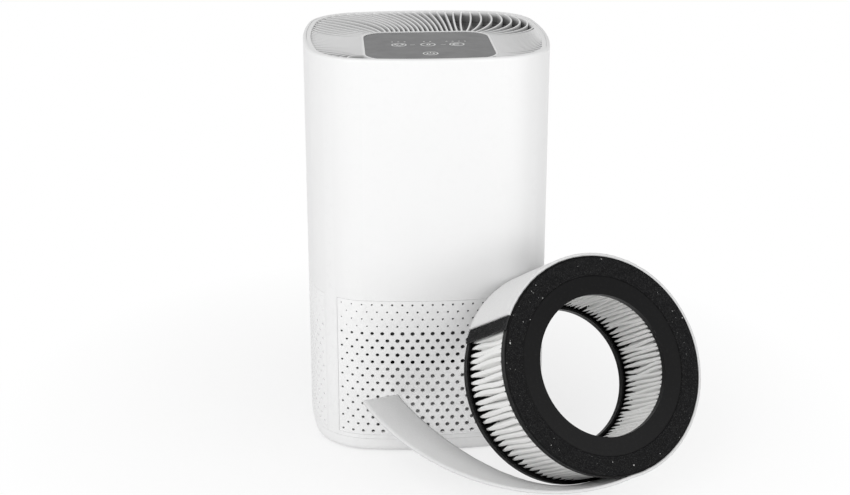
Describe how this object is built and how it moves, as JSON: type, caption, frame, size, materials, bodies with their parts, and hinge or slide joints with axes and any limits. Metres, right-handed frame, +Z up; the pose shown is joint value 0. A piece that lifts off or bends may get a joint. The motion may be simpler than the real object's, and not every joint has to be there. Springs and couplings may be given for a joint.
{
  "type": "air purifier",
  "caption": "Table-top air purifier: rounded-square body, perforated base, swirl-vane outlet, touch panel, and a spare cylindrical filter leaning on it.",
  "frame": {"origin": "centre of the purifier's base, on the surface it stands on", "axes": "+Z up, front with the touch panel's near edge towards -Y, +X to the right seen from the front"},
  "size_m": [0.338, 0.3683, 0.365],
  "materials": {
    "white_plastic": "fine matt moulded",
    "black_plastic": "satin moulded",
    "gloss_black": "glossy",
    "grey_plastic": "satin moulded",
    "dark_gloss_panel": "glossy",
    "black_foam": "open-cell foam",
    "filter_paper": "pleated filter paper",
    "white_fleece": "needled fleece",
    "hook_strip": "hook-and-loop tape",
    "steel": "plated",
    "magnet": "sintered",
    "rubber": "matt",
    "circuit_board": "solder mask",
    "led": "clear",
    "cable": "pvc jacket"
  },
  "bodies": {
    "purifier": {"board_components": "black_plastic", "board_screws": "steel", "bottom_frame": "white_plastic", "bottom_frame_screws": "steel", "control_lens": "dark_gloss_panel", "dc_socket": "black_plastic", "electronics_tray": "grey_plastic", "fan_base_plate": "black_plastic", "fan_base_screws": "steel", "fan_housing": "grey_plastic", "fan_housing_screws": "steel", "indicator_leds": "led", "inlet_guard": "grey_plastic", "inlet_guard_screws": "steel", "intake_panel_back": "white_plastic", "intake_panel_front": "white_plastic", "intake_panel_left": "white_plastic", "intake_panel_right": "white_plastic", "main_board": "circuit_board", "motor_bearings": "steel", "motor_can": "steel", "motor_cup": "gloss_black", "motor_cup_cap": "gloss_black", "motor_cup_screws": "steel", "motor_end_bell": "steel", "motor_harness": "cable", "motor_magnets": "magnet", "outer_shell": "white_plastic", "outlet_grille": "white_plastic", "outlet_stator": "grey_plastic", "plenum_plate": "grey_plastic", "power_harness": "cable", "touch_board": "circuit_board", "tray_screws": "steel"},
    "fan_wheel": {"impeller": "grey_plastic", "impeller_nut": "steel", "motor_shaft": "steel", "motor_rotor": "magnet"},
    "cover": {"base_cover": "white_plastic", "rubber_feet": "rubber"},
    "filter": {"filter_cap_lower": "black_plastic", "filter_cap_upper": "black_plastic", "filter_fleece": "white_fleece", "filter_foam_lower": "black_foam", "filter_foam_upper": "black_foam", "filter_pleats": "filter_paper"},
    "loose_filter": {"loose_filter_cap_back": "black_plastic", "loose_filter_cap_front": "black_plastic", "loose_filter_fleece": "white_fleece", "loose_filter_foam_back": "black_foam", "loose_filter_foam_front": "black_foam", "loose_filter_hook_strip": "hook_strip", "loose_filter_pleats": "filter_paper"}
  },
  "joints": [
    {"name": "impeller_spin", "type": "hinge", "parent": "purifier", "child": "fan_wheel", "pos_m": [0, 0, 0.1], "axis": [0, 0, 1], "continuous": true},
    {"name": "cover_drop", "type": "slide", "parent": "purifier", "child": "cover", "axis": [0, 0, -1], "range_m": [0, 0.17]},
    {"name": "filter_drop", "type": "slide", "parent": "purifier", "child": "filter", "axis": [0, 0, -1], "range_m": [0, 0.085]},
    {"name": "loose_filter_lift", "type": "slide", "parent": "purifier", "child": "loose_filter", "axis": [0, 0, 1], "range_m": [0, 0.25]}
  ],
  "couplings": [
    {"joint": "filter_drop", "follows": "cover_drop", "ratio": 0.5}
  ]
}
